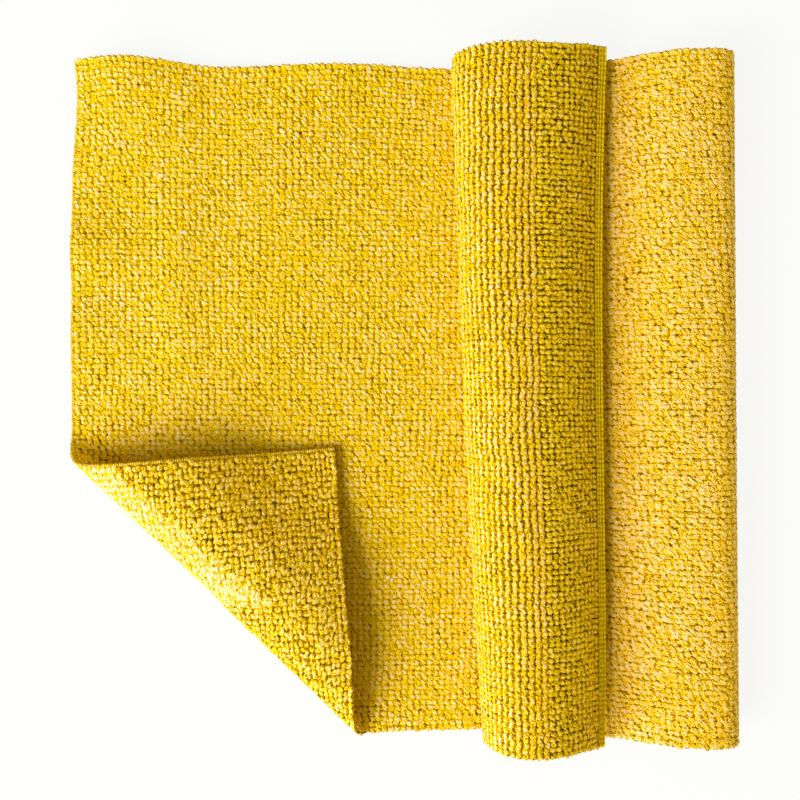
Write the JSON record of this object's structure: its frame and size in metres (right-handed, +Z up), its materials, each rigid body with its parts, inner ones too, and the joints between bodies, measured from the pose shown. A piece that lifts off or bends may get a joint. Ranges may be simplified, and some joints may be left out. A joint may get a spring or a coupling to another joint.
{
  "type": "pet towel",
  "caption": "Looped-pile pet towel laid on a surface and folded back and forth, its end standing up as a soft roll and its front left corner turned over.",
  "frame": {"origin": "the middle of the footprint, on the surface that the towel rests on", "axes": "+X runs along the cloth from its flat left edge to the folded right side, +Y to the back, +Z up"},
  "size_m": [0.2962, 0.308, 0.0324],
  "materials": {
    "pile": "matt looped pile"
  },
  "bodies": {
    "root": {"towel": "pile"}
  },
  "joints": []
}
